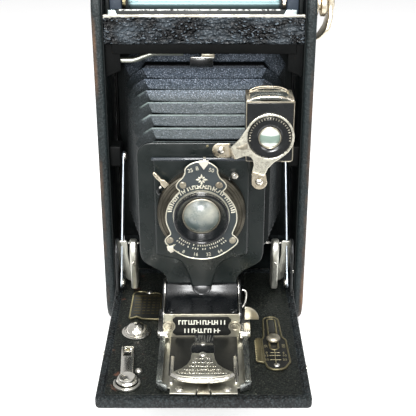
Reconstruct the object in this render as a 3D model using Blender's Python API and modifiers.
"""Vertical folding roll-film camera, standing open: body, drop bed, struts, focusing carriage with its
standard and shutter, bellows, swivelling finder, spools with a winding key, removable back and foot.

Millimetres here, metres in the mesh. Origin: centre of the body's flat bottom. +Z up, +Y to the back,
+X to the right as the lens faces the viewer.
"""

import math

import bmesh
import bpy
from mathutils import Matrix, Vector

MM = 0.001
GAP = 0.3  # clearance between touching pieces

# Driving dimensions
BODY_W, BODY_D, BODY_H = 88.0, 42.0, 158.0
END_R = 16.0  # rounding of the body's ends, seen from the side
WALL = 4.6  # thickness of the two side walls
SHELL = 1.2  # sheet metal of the back and the lower front
OPENING_HIGH = 131.0  # top of the opening in the front
LENS_X, LENS_Z = -0.9, 79.3  # lens axis, which runs along Y
BED_FRONT, BED_BACK = -116.0, -21.6
BED_UNDER, BED_RIM = 27.9, 32.0
BED_HALF_W = 37.0
SPOOL_R, SPOOL_CORE, SPOOL_HALF = 12.0, 3.0, 31.3
TAKEUP_Z = 142.9
SUPPLY_Z = BODY_H - TAKEUP_Z
STANDARD_Y = -62.4  # front face of the lens board
FINDER_X, FINDER_Z = 22.9, 110.8
FINDER_FRONT, FINDER_BACK = -72.6, -59.4
FINDER_HIGH = FINDER_Z + 12.6  # top of its box
FILM_Y = 15.8  # back face of the film gate
PIVOT = (33.9, -15.0, 82.0)  # a strut's upper pivot, on the right
BED_PIVOT = (34.4, -43.6, 37.0)  # its lower one

FRONT = -BODY_D / 2
BACK = BODY_D / 2
INNER_X = BODY_W / 2 - WALL  # inner faces of the side walls
FILL_X = INNER_X - GAP  # half width of what fits between them
FLAT = BODY_D / 2 - END_R  # half depth of the flat top and bottom
BED_FLOOR = BED_RIM - 0.8

ROUND_Y = Matrix.Rotation(math.radians(90), 4, "X")  # turned along the lens axis, nose at -Y
ROUND_X = Matrix.Rotation(math.radians(90), 4, "Y")  # turned along X, nose at +X
ROUND_Z = Matrix.Identity(4)
FACE_FRONT = ROUND_Y  # an outline in X and Z, thick along Y
FACE_SIDE = Matrix(((0, 0, 1, 0), (1, 0, 0, 0), (0, 1, 0, 0), (0, 0, 0, 1)))  # an outline in Y and Z
FACE_TOP = Matrix.Identity(4)  # an outline in X and Y

COLOURS = {  # base colour, roughness, metallic
    "leather": ((0.025, 0.030, 0.032), 0.45, 0.0),
    "nickel": ((0.72, 0.69, 0.62), 0.25, 1.0),
    "brass": ((0.55, 0.47, 0.28), 0.35, 1.0),
    "enamel": ((0.020, 0.026, 0.024), 0.30, 0.0),
    "black_metal": ((0.015, 0.015, 0.016), 0.35, 0.4),
    "bellows_leather": ((0.020, 0.030, 0.028), 0.55, 0.0),
    "glass": ((0.60, 0.68, 0.64), 0.05, 0.0),
    "ruby_glass": ((0.45, 0.02, 0.02), 0.10, 0.0),
}


# ---------------------------------------------------------------- tools

def clear_scene():
    for obj in list(bpy.data.objects):
        bpy.data.objects.remove(obj, do_unlink=True)


def collection(name):
    found = bpy.data.collections.new(name)
    bpy.context.scene.collection.children.link(found)
    return found


def material(name):
    made = bpy.data.materials.get(name)
    if made is None:
        colour, roughness, metallic = COLOURS[name]
        made = bpy.data.materials.new(name)
        made.use_nodes = True
        shader = made.node_tree.nodes["Principled BSDF"]
        shader.inputs["Base Color"].default_value = (*colour, 1.0)
        shader.inputs["Roughness"].default_value = roughness
        shader.inputs["Metallic"].default_value = metallic
    return made


def add(name, mesh, look, matrix=None):
    """Links a mesh as a named object of the camera."""
    obj = bpy.data.objects.new(name, mesh)
    PARTS.objects.link(obj)
    obj.matrix_world = matrix or Matrix.Identity(4)
    mesh.materials.append(material(look))
    mesh.shade_smooth()
    mesh.set_sharp_from_angle(angle=math.radians(35))
    return obj


def box(name, look, low, high, bevel=0.0, segments=2):
    """A block between two corners, its edges rounded by bevel."""
    bm = bmesh.new()
    bmesh.ops.create_cube(bm, size=1.0)
    size = [(b - a) * MM for a, b in zip(low, high)]
    middle = [(a + b) / 2 * MM for a, b in zip(low, high)]
    bmesh.ops.scale(bm, vec=size, verts=bm.verts)
    mesh = bpy.data.meshes.new(name)
    bm.to_mesh(mesh)
    bm.free()
    obj = add(name, mesh, look, Matrix.Translation(middle))
    if bevel:
        soften(obj, bevel, segments)
    return obj


def soften(obj, width, segments=2):
    edge = obj.modifiers.new("soften", "BEVEL")
    edge.width = width * MM
    edge.segments = segments
    edge.limit_method = "ANGLE"
    edge.angle_limit = math.radians(50)


def turned(name, look, profile, origin, turn=ROUND_Z, steps=32):
    """A lathe shape. profile lists (radius, height), down the outer side and back up the inner one.
    It closes on the axis where the radius is 0, and on itself as a ring elsewhere."""
    mesh = bpy.data.meshes.new(name)
    points = [(r * MM, 0, h * MM) for r, h in profile]
    ring = profile[0][0] > 0
    edges = [(i, i + 1) for i in range(len(points) - 1)] + ([(len(points) - 1, 0)] if ring else [])
    mesh.from_pydata(points, edges, [])
    obj = add(name, mesh, look, Matrix.Translation(Vector(origin) * MM) @ turn)
    screw = obj.modifiers.new("turn", "SCREW")
    screw.steps = screw.render_steps = steps
    screw.use_merge_vertices = True
    screw.merge_threshold = 0.00001
    screw.use_smooth_shade = True
    return obj


def disc(name, look, origin, radius, length, turn=ROUND_Z, steps=24, hole=0.0):
    """A cylinder, or a tube with a hole, from its origin along the turned +Z."""
    if hole:
        profile = [(hole, length), (radius, length), (radius, 0), (hole, 0)]
    else:
        profile = [(0, length), (radius, length), (radius, 0), (0, 0)]
    return turned(name, look, profile, origin, turn, steps)


def arc(cx, cy, radius, start, end, count):
    """Points on a circle, angles in degrees."""
    turns = [math.radians(start + (end - start) * i / count) for i in range(count + 1)]
    return [(cx + radius * math.cos(t), cy + radius * math.sin(t)) for t in turns]


def rounded(x0, x1, y0, y1, radius, count=5):
    """The outline of a rectangle with round corners."""
    return (
        arc(x1 - radius, y1 - radius, radius, 0, 90, count)
        + arc(x0 + radius, y1 - radius, radius, 90, 180, count)
        + arc(x0 + radius, y0 + radius, radius, 180, 270, count)
        + arc(x1 - radius, y0 + radius, radius, 270, 360, count)
    )


def mesh_of(curve):
    """The curve object as a welded mesh object of the same name and place."""
    view = bpy.context.evaluated_depsgraph_get()
    mesh = bpy.data.meshes.new_from_object(curve.evaluated_get(view))
    bm = bmesh.new()
    bm.from_mesh(mesh)
    bmesh.ops.remove_doubles(bm, verts=bm.verts, dist=0.000001)
    bmesh.ops.recalc_face_normals(bm, faces=bm.faces)
    bm.to_mesh(mesh)
    bm.free()
    name, matrix, look = curve.name, curve.matrix_world.copy(), curve.data.materials[0].name
    bpy.data.objects.remove(curve, do_unlink=True)
    mesh.materials.clear()
    return add(name, mesh, look, matrix)


def plate(name, look, outlines, near, far, face):
    """Sheet between two levels near and far along its normal, with holes where outlines nest.
    The level is Z for FACE_TOP, X for FACE_SIDE and Y for FACE_FRONT."""
    curve = bpy.data.curves.new(name, "CURVE")
    curve.dimensions = "2D"
    curve.fill_mode = "BOTH"
    curve.extrude = abs(far - near) / 2 * MM
    for outline in outlines:
        spline = curve.splines.new("POLY")
        spline.points.add(len(outline) - 1)
        for point, (a, b) in zip(spline.points, outline):
            point.co = (a * MM, b * MM, 0, 1)
        spline.use_cyclic_u = True
    curve.materials.append(material(look))
    obj = bpy.data.objects.new(name, curve)
    PARTS.objects.link(obj)
    level = (near + far) / 2 * MM
    normal = Vector((0, 1, 0)) if face is FACE_FRONT else face.to_3x3() @ Vector((0, 0, 1))
    obj.matrix_world = Matrix.Translation(normal * level) @ face
    bpy.context.view_layer.update()
    return mesh_of(obj)


def rod(name, look, points, radius, resolution=2):
    """A round bar through points."""
    curve = bpy.data.curves.new(name, "CURVE")
    curve.dimensions = "3D"
    curve.bevel_depth = radius * MM
    curve.bevel_resolution = resolution
    curve.use_fill_caps = True
    spline = curve.splines.new("POLY")
    spline.points.add(len(points) - 1)
    for point, place in zip(spline.points, points):
        point.co = (*(c * MM for c in place), 1)
    curve.materials.append(material(look))
    obj = bpy.data.objects.new(name, curve)
    PARTS.objects.link(obj)
    bpy.context.view_layer.update()
    return mesh_of(obj)


def combine(base, tools, operation):
    """Joins tools to base, or cuts them from it."""
    for tool in tools:
        PARTS.objects.unlink(tool)
        CUTTERS.objects.link(tool)
        tool.hide_render = True
        tool.display_type = "WIRE"
        change = base.modifiers.new(operation.lower(), "BOOLEAN")
        change.operation = operation
        change.solver = "EXACT"
        change.object = tool
    return base


def join(base, *tools):
    return combine(base, tools, "UNION")


def cut(base, *tools):
    return combine(base, tools, "DIFFERENCE")


def mirrored(points):
    return [(-x, y) for x, y in reversed(points)]


def sides():
    """The left and the right of the camera: a name ending and the sign of X."""
    return (("left", -1), ("right", 1))


def span(sign, inner, outer):
    """Lowest and highest X of a piece between two distances from the middle, on one side."""
    return sorted((sign * inner, sign * outer))


# ---------------------------------------------------------------- body

def body_outline():
    return rounded(FRONT, BACK, 0, BODY_H, END_R, 8)


def side_walls():
    """Thick leather-covered side walls, each with the block that carries a strut's pivot inside."""
    for side, sign in sides():
        x0, x1 = span(sign, INNER_X, BODY_W / 2)
        wall = plate(f"side_wall_{side}", "leather", [body_outline()], x0, x1, FACE_SIDE)
        soften(wall, 0.9)
        b0, b1 = span(sign, PIVOT[0] + 0.8, INNER_X + 1)
        y, z = PIVOT[1:]
        join(wall, box(f"strut_block_{side}", "enamel", (b0, y - 3.5, z - 6), (b1, y + 5, z + 6)))
        if side == "right":
            hole = disc("key_hole", "black_metal", (x0 - 1, 0, TAKEUP_Z), 3.2, WALL + 2, ROUND_X, 16)
            cut(wall, hole)


def front_panel():
    """The leather-covered panel above the opening, with the lip behind its lower edge."""
    panel = box("front_panel", "leather", (-FILL_X, FRONT, OPENING_HIGH), (FILL_X, FRONT + 1.6, 142.2), 0.4)
    lip = box("front_lip", "enamel", (-36.6, FRONT + 1.2, 126.8), (36.6, FRONT + 3.0, OPENING_HIGH + 1.2))
    return join(panel, lip)


def shell_strip(outer, inner):
    """The closed outline of a bent sheet, from the line of its outside and that of its inside."""
    return [outer + inner[::-1]]


def lower_shell():
    """Sheet that closes the lower spool chamber at the front and underneath."""
    low = FRONT + END_R
    outer = [(FRONT, 27.2)] + arc(low, END_R, END_R, 180, 270, 8) + [(FLAT - GAP, 0)]
    inner = [(FRONT + SHELL, 27.2)] + arc(low, END_R, END_R - SHELL, 180, 270, 8) + [(FLAT - GAP, SHELL)]
    return plate("lower_shell", "leather", shell_strip(outer, inner), -FILL_X, FILL_X, FACE_SIDE)


def back_cover():
    """The removable back: crest, flat back and lower curve, with a slot for writing on the film."""
    high, low = BODY_H - END_R, END_R
    edge = BACK - END_R
    outer = [(-FLAT, BODY_H)] + arc(edge, high, END_R, 90, 0, 8) + arc(edge, low, END_R, 0, -90, 8)
    inner = (
        [(-FLAT, BODY_H - SHELL)]
        + arc(edge, high, END_R - SHELL, 90, 0, 8)
        + arc(edge, low, END_R - SHELL, 0, -90, 8)
    )
    cover = plate("back_cover", "leather", shell_strip(outer, inner), -FILL_X, FILL_X, FACE_SIDE)
    window = disc("window_hole", "enamel", (0, BACK + 2, 62), 4.3, 6, ROUND_Y, 20)
    slot = box("writing_slot", "enamel", (-24, BACK - 4, 33), (24, BACK + 2, 39.5))
    return cut(cover, window, slot)


def back_fittings():
    disc("red_window", "ruby_glass", (0, BACK - 0.2, 62), 4.0, 1.0, ROUND_Y, 20)
    box("writing_door", "enamel", (-27, BACK + 0.3, 31.5), (27, BACK + 1.3, 41), 0.3)
    stylus = rod("stylus", "nickel", [(-20, BACK + 1.5, 46.5), (20, BACK + 1.5, 46.5)], 1.1)
    join(stylus, disc("stylus_head", "nickel", (19, BACK + 1.5, 46.5), 1.15, 4.5, ROUND_X, 12))
    catch = box("back_catch", "nickel", (-5, BACK + 0.3, 128), (5, BACK + 1.2, 138), 0.2)
    join(catch, box("catch_grip", "nickel", (-3.5, BACK + 1, 131), (3.5, BACK + 2.8, 134), 0.3))


def film_box():
    """Walls between the bellows space and the two spool chambers, and the gate that holds the film flat."""
    box("upper_chamber_wall", "enamel", (-FILL_X, FRONT + 3.4, 129.2), (FILL_X, 10.0, 130.4))
    box("lower_chamber_wall", "enamel", (-FILL_X, FRONT + 3.4, 27.4), (FILL_X, 10.0, 28.6))
    frame = [rounded(-FILL_X, FILL_X, 30.6, 128.2, 0.5, 1), rounded(-28.5, 28.5, 37.8, 120.8, 1.0, 1)]
    plate("film_gate", "enamel", frame, FILM_Y - 1.2, FILM_Y, FACE_FRONT)
    for name, z in (("upper_roller", 131.9), ("lower_roller", 26.9)):
        roller = disc(name, "nickel", (-31, 13.4, z), 2.5, 62, ROUND_X, 16)
        join(roller, disc(f"{name}_pin", "nickel", (-39, 13.4, z), 1.0, 78, ROUND_X, 8))


def spool(name, z):
    """A metal film spool: thin core and two flanges."""
    core = disc(name, "nickel", (-SPOOL_HALF, 0, z), SPOOL_CORE, 2 * SPOOL_HALF, ROUND_X, 16)
    for side, sign in sides():
        x0, _ = span(sign, SPOOL_HALF - 1.0, SPOOL_HALF)
        join(core, disc(f"{name}_flange_{side}", "black_metal", (x0, 0, z), SPOOL_R, 1.0, ROUND_X, 24))
    return core


def spools():
    spool("takeup_spool", TAKEUP_Z)
    spool("supply_spool", SUPPLY_Z)
    pin_length = INNER_X - SPOOL_HALF - 2 * GAP
    for name, x, z in (
        ("takeup_pivot", -INNER_X + GAP, TAKEUP_Z),
        ("supply_pivot_left", -INNER_X + GAP, SUPPLY_Z),
        ("supply_pivot_right", SPOOL_HALF + GAP, SUPPLY_Z),
    ):
        disc(name, "brass", (x, 0, z), 2.4, pin_length, ROUND_X, 12)


def winding_key():
    """Collar on the right wall, and the key: shaft through the wall, hub and a wing with a curved end."""
    face = BODY_W / 2
    disc("key_collar", "nickel", (face + GAP, 0, TAKEUP_Z), 6.2, 2.2, ROUND_X, 24, hole=3.2)
    shaft_x = SPOOL_HALF + GAP
    key = disc("winding_key", "nickel", (shaft_x, 0, TAKEUP_Z), 2.8, face + 4 - shaft_x, ROUND_X, 16)
    hub = disc("key_hub", "nickel", (face + 3.2, 0, TAKEUP_Z), 5.2, 2.2, ROUND_X, 20)
    blade = (
        arc(0, TAKEUP_Z + 9.6, 5.2, 0, 180, 8)
        + [(-3.6, TAKEUP_Z)]
        + arc(0, TAKEUP_Z - 9.6, 5.2, 180, 360, 8)
        + [(3.6, TAKEUP_Z)]
    )
    wing = plate("key_wing", "nickel", [blade], face + 5.0, face + 8.4, FACE_SIDE)
    soften(wing, 0.8)
    return join(key, hub, wing)


# ---------------------------------------------------------------- opening and struts

def catch_arm():
    """Sprung nickel arm under the lip that holds the closed bed, with its catch block and hook."""
    y, z = -15.0, 125.3
    arm = rod("catch_arm", "nickel", [(-33.4, y, 123), (-30, y, 123), (-21, y, z), (-2, y, z)], 0.9)
    block = box("catch_block", "black_metal", (-5.7, y - 1.6, 122.6), (4.8, y + 1.6, 124.9), 0.2)
    hook = box("catch_hook", "black_metal", (-1.5, y - 1.4, 119.5), (1.5, y + 1.4, 123))
    return join(arm, block, hook)


def struts():
    """Flat nickel struts from the side walls, and the brackets that hold them on the bed."""
    for side, sign in sides():
        x0, x1 = span(sign, PIVOT[0] - 0.5, PIVOT[0] + 0.5)
        (ya, za), (yb, zb) = PIVOT[1:], BED_PIVOT[1:]
        lean = math.degrees(math.atan2(zb - za, yb - ya))
        strip = arc(ya, za, 2.2, lean + 90, lean + 270, 6) + arc(yb, zb, 2.2, lean - 90, lean + 90, 6)
        strut = plate(f"strut_{side}", "nickel", [strip], x0, x1, FACE_SIDE)
        rivet_x = min(sign * (PIVOT[0] - 1.2), sign * PIVOT[0])
        join(strut, disc(f"strut_rivet_{side}", "nickel", (rivet_x, ya, za), 1.6, 1.2, ROUND_X, 12))

        x0, x1 = span(sign, BED_PIVOT[0] + 0.8, BED_PIVOT[0] + 1.8)
        foot_z = BED_RIM + GAP
        cheek = [(-35, foot_z + 0.2), (-35, 46)] + arc(-40, 50, 5, 0, 180, 6) + [(-45, foot_z + 0.2)]
        bracket = plate(f"bed_bracket_{side}", "nickel", [cheek], x0, x1, FACE_SIDE)
        f0, f1 = span(sign, BED_PIVOT[0] + 1.1, BED_HALF_W - 0.1)
        join(bracket, box(f"bracket_foot_{side}", "nickel", (f0, -47, foot_z), (f1, -33, foot_z + 0.9)))


def strut_lugs():
    """The two sprung lugs that are pressed to unlock the struts."""
    for side, sign in sides():
        x0, x1 = span(sign, 27.6, 31.2)
        profile = [(-44, 34.2), (-38, 34.2), (-38.6, 48)] + arc(-42, 52.6, 3.4, -20, 180, 8) + [(-45.4, 44)]
        lug = plate(f"strut_lug_{side}", "nickel", [profile], x0, x1, FACE_SIDE)
        soften(lug, 0.7)
        cut(lug, box(f"lug_hollow_{side}", "nickel", (x0 + 0.8, -43.0, 30), (x1 - 0.8, -35, 46)))


# ---------------------------------------------------------------- bed

def bed():
    """Tray with a raised rim, its lining, the hinge rod and the track for the carriage."""
    tray = box("bed_tray", "leather", (-BED_HALF_W, BED_FRONT, BED_UNDER), (BED_HALF_W, BED_BACK, BED_RIM), 0.9)
    inside = rounded(-34.2, 34.2, BED_FRONT + 2.8, BED_BACK + 5, 2.0, 3)
    cut(tray, plate("bed_recess", "leather", [inside], BED_FLOOR, BED_RIM + 3, FACE_TOP))
    lining = rounded(-33.8, 33.8, BED_FRONT + 3.2, BED_BACK - GAP, 1.6, 3)
    plate("bed_lining", "enamel", [lining], BED_FLOOR + 0.2, BED_FLOOR + 0.7, FACE_TOP)
    disc("hinge_rod", "nickel", (-FILL_X, -19.4, 29.4), 1.3, 2 * FILL_X, ROUND_X, 16)


TRACK_Z = BED_RIM + 0.2


def track():
    """Nickel base plate with two channel rails, whose front ends turn outwards as stops."""
    base = [(-16.2, -110), (-16.2, -24), (16.2, -24), (16.2, -110), (12, -110.6), (12, -114)]
    base += [(2.6, -114), (2.2, -111.4), (-2.2, -111.4), (-2.6, -114), (-12, -114), (-12, -110.6)]
    deck = plate("track", "nickel", [base], TRACK_Z, TRACK_Z + 0.8, FACE_TOP)
    for side, sign in sides():
        x0, x1 = span(sign, 15.5, 16.5)
        rail = box(f"rail_{side}", "nickel", (x0, -109.6, TRACK_Z + 0.4), (x1, -24.3, TRACK_Z + 3.4))
        x0, x1 = span(sign, 15.9, 19.2)
        join(deck, rail, box(f"stop_{side}", "nickel", (x0, -110.3, TRACK_Z + 0.2), (x1, -109, TRACK_Z + 3.2)))
    return deck


def body_track():
    """The short run of track inside the body that takes the folded carriage."""
    deck = box("body_track", "nickel", (-16.2, FRONT + 2, TRACK_Z), (16.2, 12.5, TRACK_Z + 0.8))
    for side, sign in sides():
        x0, x1 = span(sign, 15.5, 16.5)
        join(deck, box(f"body_rail_{side}", "nickel", (x0, FRONT + 2.3, TRACK_Z + 0.4), (x1, 12.2, TRACK_Z + 3.4)))
    join(deck, box("body_track_leg", "nickel", (-10, -12, 28.9), (10, 10, TRACK_Z + 0.4)))
    return deck


def distance_plate():
    """Scale plate with a slot, in which the distance stop slides."""
    z = BED_RIM + 0.2
    x = 26.0
    outline = (
        arc(x, -94.6, 4.9, 215, 325, 7)
        + [(31.5, -94.4), (31.0, -80.2), (29.6, -77.8), (29.3, -66.4)]
        + arc(x, -66.6, 3.4, 15, 165, 7)
        + [(22.3, -77.6), (21.6, -79.0), (19.2, -79.3), (19.3, -94.4)]
    )
    slot = rounded(x - 1.7, x + 1.7, -87, -66, 1.6, 4)
    plate("distance_plate", "brass", [outline, slot], z, z + 0.7, FACE_TOP)
    knob = disc("distance_stop", "nickel", (x, -80.4, z + 1.0), 2.6, 1.6, ROUND_Z, 16)
    join(knob, disc("stop_stem", "nickel", (x, -80.4, z), 1.3, 1.4, ROUND_Z, 12))


def bed_fittings():
    z = BED_RIM + 0.2
    table = [(-29.7, -66.2), (-17.2, -66.2), (-17.2, -42.5), (-26.5, -42.5), (-29.7, -46)]
    plate("exposure_plate", "brass", [table], z, z + 0.7, FACE_TOP)
    socket = [(0, 2.9), (2.2, 2.5), (3.6, 1.5), (4.1, 0.7), (5.5, 0.6), (5.5, 0), (0, 0)]
    turned("tripod_cover", "nickel", socket, (-25.8, -73.5, z), steps=24)
    strip = [(-30.4, -85.6), (-29.8, -94), (-29.2, -104.5), (-24.8, -104.5), (-25.3, -94), (-25.8, -85.6)]
    spring = plate("catch_spring", "nickel", [strip], z + 1.4, z + 2.0, FACE_TOP)
    join(
        spring,
        disc("catch_button", "nickel", (-26.7, -106.6, z + 1.2), 3.6, 1.2, ROUND_Z, 20),
        box("catch_spring_root", "nickel", (-29.8, -88.6, z), (-26.2, -86.2, z + 1.7)),
    )


FOOT_Y, FOOT_Z = -58.0, 26.0


def support_foot():
    """The leg that folds out from under the bed; it leans forward past upright and ends in a toe."""
    tip = FOOT_Y - 3.5
    profile = arc(FOOT_Y, FOOT_Z, 1.5, 180, 0, 6) + [(FOOT_Y + 1.4, FOOT_Z - 1)]
    profile += [(tip + 2.4, 1.6), (tip + 3.6, 1.0), (tip + 3.6, 0), (tip - 2.0, 0), (tip, 1.6)]
    profile += [(FOOT_Y - 1.4, FOOT_Z - 1.4)]
    return plate("support_foot", "nickel", [profile], -7, 7, FACE_SIDE)


# ---------------------------------------------------------------- carriage

CARRIAGE_Z = TRACK_Z + 1.1
PULL_Z = 37.2


def carriage():
    """The block that slides on the track, its bent cover and the finger pull."""
    base = box("carriage_base", "black_metal", (-13.6, -77.2, CARRIAGE_Z), (13.6, -46, CARRIAGE_Z + 3.4), 0.3)
    for side, sign in sides():
        x0, x1 = (LENS_X + x for x in span(sign, 13.9, 15.0))
        cheek = [(-76.9, CARRIAGE_Z + 3.0), (-46.4, CARRIAGE_Z + 3.0), (-56, 44.6), (-62, 45.2), (-76.9, 42.0)]
        join(base, plate(f"carriage_cheek_{side}", "nickel", [cheek], x0, x1, FACE_SIDE))
        hook = [(sign * 13.0, 35.95), (sign * 16.9, 35.95), (sign * 16.9, 34.2), (sign * 17.4, 34.2)]
        hook += [(sign * 17.4, 36.55), (sign * 13.0, 36.55)]
        join(base, plate(f"runner_{side}", "nickel", [hook], -80.6, -64.0, FACE_FRONT))
    join(base, box("carriage_post", "black_metal", (-7, -61.5, CARRIAGE_Z + 2), (7, -57.5, 44.9)))
    join(base, box("pull_stem", "black_metal", (-4, -99, CARRIAGE_Z), (4, -76, CARRIAGE_Z + 1.4)))
    join(base, box("pull_seat", "black_metal", (-3, -99, CARRIAGE_Z + 1), (3, -92, PULL_Z - GAP)))
    top = [(-78.4, 43.0), (-77.6, 43.9), (-63.8, 46.8), (-63.8, 45.9), (-77.2, 43.0)]
    plate("carriage_cover", "enamel", [top], LENS_X - 13.6, LENS_X + 13.6, FACE_SIDE)
    fan = [(-4, -92), (-4.6, -100), (-10.2, -108.6), (-10.2, -111), (10.2, -111), (10.2, -108.6), (4.6, -100)]
    fan += [(4, -92)]
    pull = plate("finger_pull", "nickel", [fan], PULL_Z, PULL_Z + 0.9, FACE_TOP)
    join(pull, rod("pull_lip", "nickel", [(-10.2, -110.8, PULL_Z + 0.1), (10.2, -110.8, PULL_Z + 0.1)], 1.0))


def lock_lever():
    """Upright quarter disc beside the carriage that clamps it to the track."""
    corner = (15.3, 37.3)
    outline = [corner] + arc(*corner, 5.6, 0, 90, 7)
    return plate("lock_lever", "nickel", [outline], -73.2, -72.3, FACE_FRONT)


def lens_board_outline():
    """Upright plate: wide above, curving in to a neck over the carriage."""
    half = arc(18.5, 99.8, 5, 90, 0, 5) + [(23.5, 60.5), (22.9, 58.0), (21.4, 56.0), (18.8, 54.2)]
    half += [(15.8, 52.2), (13.9, 50.0), (13.2, 47.3)]
    return [(LENS_X + x, z) for x, z in half + mirrored(half)]


def lens_board():
    """The front standard's plate, with its stiffening rib and the hole for the shutter."""
    hole = arc(LENS_X, LENS_Z, 10.5, 0, 345, 23)
    board = plate("lens_board", "enamel", [lens_board_outline(), hole], STANDARD_Y, STANDARD_Y + 1.2, FACE_FRONT)
    foot = box("board_foot", "enamel", (LENS_X - 7.5, STANDARD_Y, 45.2), (LENS_X + 7.5, STANDARD_Y + 5.2, 47.6))
    return join(board, foot)


CASE_DEEP = 6.6
FACE_Y = STANDARD_Y - GAP - CASE_DEEP - GAP - 0.7  # front of the shutter's face
BLADE_PIVOT = 11.5  # a blade's pin, to one side of the lens axis


def dial_point(radius, angle):
    """X and Z of a point at a radius and angle from the lens axis."""
    turn = math.radians(angle)
    return LENS_X + radius * math.cos(turn), LENS_Z + radius * math.sin(turn)


def shutter():
    """Shutter case, its face, the two lens cells with their glass, and two blades over the aperture."""
    back = STANDARD_Y - GAP
    profile = [(9.2, CASE_DEEP), (15.4, CASE_DEEP), (16.5, 5.6), (16.5, 2.2), (15.4, 0.0), (9.2, 0.0)]
    profile += [(9.2, 1.2), (14.6, 1.2), (14.6, 5.0), (9.2, 5.0)]
    case = turned("shutter_case", "black_metal", profile, (LENS_X, back, LENS_Z), ROUND_Y, 40)
    cut(case, box("lever_slot", "black_metal", (LENS_X - 19.6, back - 5.0, 87), (LENS_X - 8.8, back - 3.0, 97)))

    outline = []
    for angle in range(0, 360, 9):
        top = 8.2 * math.exp(-(((angle - 90) / 26) ** 2))
        bottom = 4.4 * math.exp(-(((angle - 270) / 40) ** 2))
        outline.append(dial_point(13.0 + top + bottom, angle))
    hole = arc(LENS_X, LENS_Z, 10.6, 0, 345, 23)
    plate("shutter_face", "enamel", [outline, hole], FACE_Y, FACE_Y + 0.7, FACE_FRONT)

    front = [(9.4, 3.3), (10.3, 2.7), (10.3, 0.6), (8.9, 0.6), (8.9, -4.4), (6.9, -4.4), (6.9, 0.6)]
    turned("front_lens_mount", "black_metal", front, (LENS_X, FACE_Y, LENS_Z), ROUND_Y, 32)
    glass = [(0, 1.6), (2.6, 1.3), (5.0, 0.4), (6.4, -0.6), (6.4, -2.2), (0, -2.2)]
    turned("front_lens", "glass", glass, (LENS_X, FACE_Y, LENS_Z), ROUND_Y, 24)
    rear = [(6.9, 2.0), (8.9, 2.0), (8.9, -1.5), (11.8, -1.5), (11.8, -3.2), (6.9, -3.2)]
    turned("rear_lens_mount", "black_metal", rear, (LENS_X, STANDARD_Y, LENS_Z), ROUND_Y, 28)
    back_glass = [(0, -0.6), (6.4, -0.6), (6.4, -2.0), (3.5, -2.8), (0, -3.1)]
    turned("rear_lens", "glass", back_glass, (LENS_X, STANDARD_Y, LENS_Z), ROUND_Y, 24)

    for side, sign in sides():
        level = STANDARD_Y - (2.4 if side == "left" else 3.0)
        half = [(LENS_X + sign * x, LENS_Z + sign * z) for x, z in
                arc(0, -0.5, 7.0, 0, 180, 10) + [(-7.0, -0.9), (BLADE_PIVOT, -1.4), (BLADE_PIVOT, 1.4)]]
        plate(f"shutter_blade_{side}", "black_metal", [half], level - 0.3, level, FACE_FRONT)


def ring_arm(name, angle, reach, half, level, thickness, ring=(11.0, 12.4)):
    """A ring round the lens mount with one pointer arm."""
    y = level
    loop = plate(
        name,
        "nickel",
        [arc(LENS_X, LENS_Z, ring[1], 0, 345, 23), arc(LENS_X, LENS_Z, ring[0], 0, 345, 23)],
        y - thickness,
        y,
        FACE_FRONT,
    )
    root = [dial_point(ring[0] + 0.5, angle - half * 1.2), dial_point(ring[0] + 0.5, angle + half * 1.2)]
    tip = [dial_point(reach, angle + half * 0.5), dial_point(reach, angle - half * 0.5)]
    return join(loop, plate(f"{name}_arm", "nickel", [root + tip], y - thickness, y, FACE_FRONT))


def shutter_controls():
    """Speed and aperture pointers round the lens, and the release lever at the upper left."""
    ring_arm("speed_pointer", 87, 20.6, 6, FACE_Y - 2 * GAP - 0.5, 0.5, ring=(10.8, 11.7))
    ring_arm("aperture_pointer", 230, 17.9, 6, FACE_Y - GAP, 0.5, ring=(12.0, 12.8))
    level = STANDARD_Y - GAP - 3.4
    lever = [dial_point(13.0, 139), dial_point(13.0, 132), dial_point(24.4, 134), dial_point(24.4, 137.5)]
    plate("release_lever", "nickel", [lever], level - 1.2, level, FACE_FRONT)


# ---------------------------------------------------------------- finder

def finder():
    """Brilliant finder: mirror box with a slanting back, its lens, and the riveted ring bracket."""
    x0, x1 = FINDER_X - 8.3, FINDER_X + 8.3
    low, high = FINDER_Z - 9.4, FINDER_HIGH
    profile = [(FINDER_FRONT, low), (FINDER_FRONT, high), (FINDER_BACK, high), (FINDER_BACK, high - 4),
               (FINDER_FRONT + 4.5, low)]
    body = plate("finder_body", "nickel", [profile], x0, x1, FACE_SIDE)
    soften(body, 0.6)
    dome = [(0, 1.8), (3.0, 1.5), (5.2, 0.7), (6.0, 0.1), (6.0, -1.2), (0, -1.2)]
    turned("finder_glass", "glass", dome, (FINDER_X, (FINDER_FRONT + FINDER_BACK) / 2, high + 1.5), steps=20)
    ring = [(3.9, 1.8), (6.4, 1.8), (6.6, 1.5), (6.6, -0.4), (3.9, -0.4)]
    join(body, turned("finder_lens_mount", "nickel", ring, (FINDER_X, FINDER_FRONT, FINDER_Z), ROUND_Y, 28))
    cut(body, disc("eye_hole", "nickel", (FINDER_X, FINDER_FRONT + 3, FINDER_Z), 3.9, 8, ROUND_Y, 28))
    eye = [(0, 1.5), (2.0, 1.2), (3.5, 0.4), (3.5, -1.6), (0, -1.6)]
    turned("finder_lens", "glass", eye, (FINDER_X, FINDER_FRONT, FINDER_Z), ROUND_Y, 20)


def ribbon(points, thickness):
    """The outline of a bent strip of even thickness along points."""
    left, right = [], []
    for i, (x, y) in enumerate(points):
        (ax, ay), (bx, by) = points[max(i - 1, 0)], points[min(i + 1, len(points) - 1)]
        length = math.hypot(bx - ax, by - ay)
        nx, ny = -(by - ay) / length * thickness / 2, (bx - ax) / length * thickness / 2
        left.append((x + nx, y + ny))
        right.append((x - nx, y - ny))
    return left + right[::-1]


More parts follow.
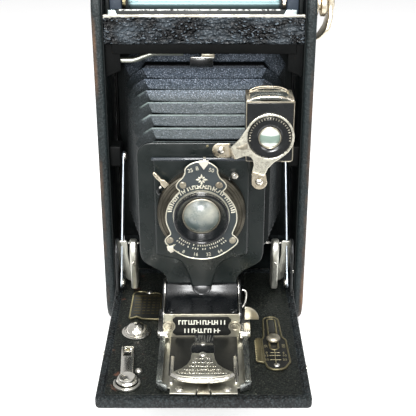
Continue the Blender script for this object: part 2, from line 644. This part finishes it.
def finder_bracket():
    """Nickel ring in front of the finder, with two arms bent back to rivets on the lens board."""
    near, far = FINDER_FRONT - GAP - 0.6, FINDER_FRONT - GAP
    board = STANDARD_Y - GAP
    middle, flat = (near + far) / 2, board - 0.3
    left, low = (6.1, 101.9), (20.3, 90.0)
    rings = [arc(FINDER_X, FINDER_Z, r, 0, 345, 23) for r in (8.5, 6.9)]
    bracket = plate("finder_bracket", "nickel", rings, near, far, FACE_FRONT)
    web = [(15.6, 107.6), (10.1, 105.9), (10.1, 101.4), (14.1, 102.9), (16.2, 102.7), (17.5, 101.0), (17.3, 97.6)]
    web += [(21.3, 97.2), (22.9, 99.6), (24.4, 102.6), (20.0, 103.4), (17.6, 104.8)]
    bend_left = ribbon([(12.4, middle), (10.1, middle), (left[0] + 2.0, flat), (left[0] - 1, flat)], 0.6)
    bend_low = ribbon([(middle, 97.6), (middle, 96.2), (flat, low[1] + 1.6), (flat, low[1] - 1)], 0.6)
    return join(
        bracket,
        plate("bracket_web", "nickel", [web], near + 0.05, far - 0.05, FACE_FRONT),
        plate("bracket_arm_left", "nickel", [bend_left], 100.6, 104.2, FACE_TOP),
        plate("bracket_arm_low", "nickel", [bend_low], 18.2, 21.6, FACE_SIDE),
        disc("bracket_pad_left", "nickel", (left[0], board, left[1]), 2.7, 0.7, ROUND_Y, 20),
        disc("bracket_pad_low", "nickel", (low[0], board, low[1]), 2.9, 0.7, ROUND_Y, 20),
    )


# ---------------------------------------------------------------- bellows

def bellows():
    """Seven folds from the film gate to the lens board, as one closed tapering solid."""
    back, front, folds = FILM_Y - 1.2 - GAP, STANDARD_Y + 4.0, 7
    rings = []
    for i in range(2 * folds + 1):
        t = i / (2 * folds)
        y = back + (front - back) * t
        inset = 1.2 if i % 2 else -0.6
        half_w = 33.2 + (21.5 - 33.2) * t - inset
        low, high = 35.5 + (56 - 35.5) * t + inset, 122.5 + (102.5 - 122.5) * t - inset
        rings.append((y, half_w, low, high))
    bm = bmesh.new()
    loops = []
    for y, half_w, low, high in rings:
        chamfer = 5.0
        corners = [(half_w, low + chamfer), (half_w, high - chamfer), (half_w - chamfer, high)]
        corners += [(-half_w + chamfer, high), (-half_w, high - chamfer), (-half_w, low + chamfer)]
        corners += [(-half_w + chamfer, low), (half_w - chamfer, low)]
        loops.append([bm.verts.new((x * MM, y * MM, z * MM)) for x, z in corners])
    for a, b in zip(loops, loops[1:]):
        for i in range(len(a)):
            j = (i + 1) % len(a)
            bm.faces.new((a[i], a[j], b[j], b[i]))
    bm.faces.new(loops[0])
    bm.faces.new(loops[-1][::-1])
    bmesh.ops.recalc_face_normals(bm, faces=bm.faces)
    mesh = bpy.data.meshes.new("bellows")
    bm.to_mesh(mesh)
    bm.free()
    obj = add("bellows", mesh, "bellows_leather")
    return cut(obj, box("light_path", "enamel", (-14, front - 20, 68), (14, front + 5, 92)))


clear_scene()
PARTS = collection("folding_camera")
CUTTERS = collection("cutters")

for build in (
    side_walls, front_panel, lower_shell, back_cover, back_fittings, film_box, spools, winding_key,
    catch_arm, struts, strut_lugs, bed, track, body_track, distance_plate, bed_fittings, support_foot,
    carriage, lock_lever, lens_board, shutter, shutter_controls, finder, finder_bracket, bellows,
):
    build()
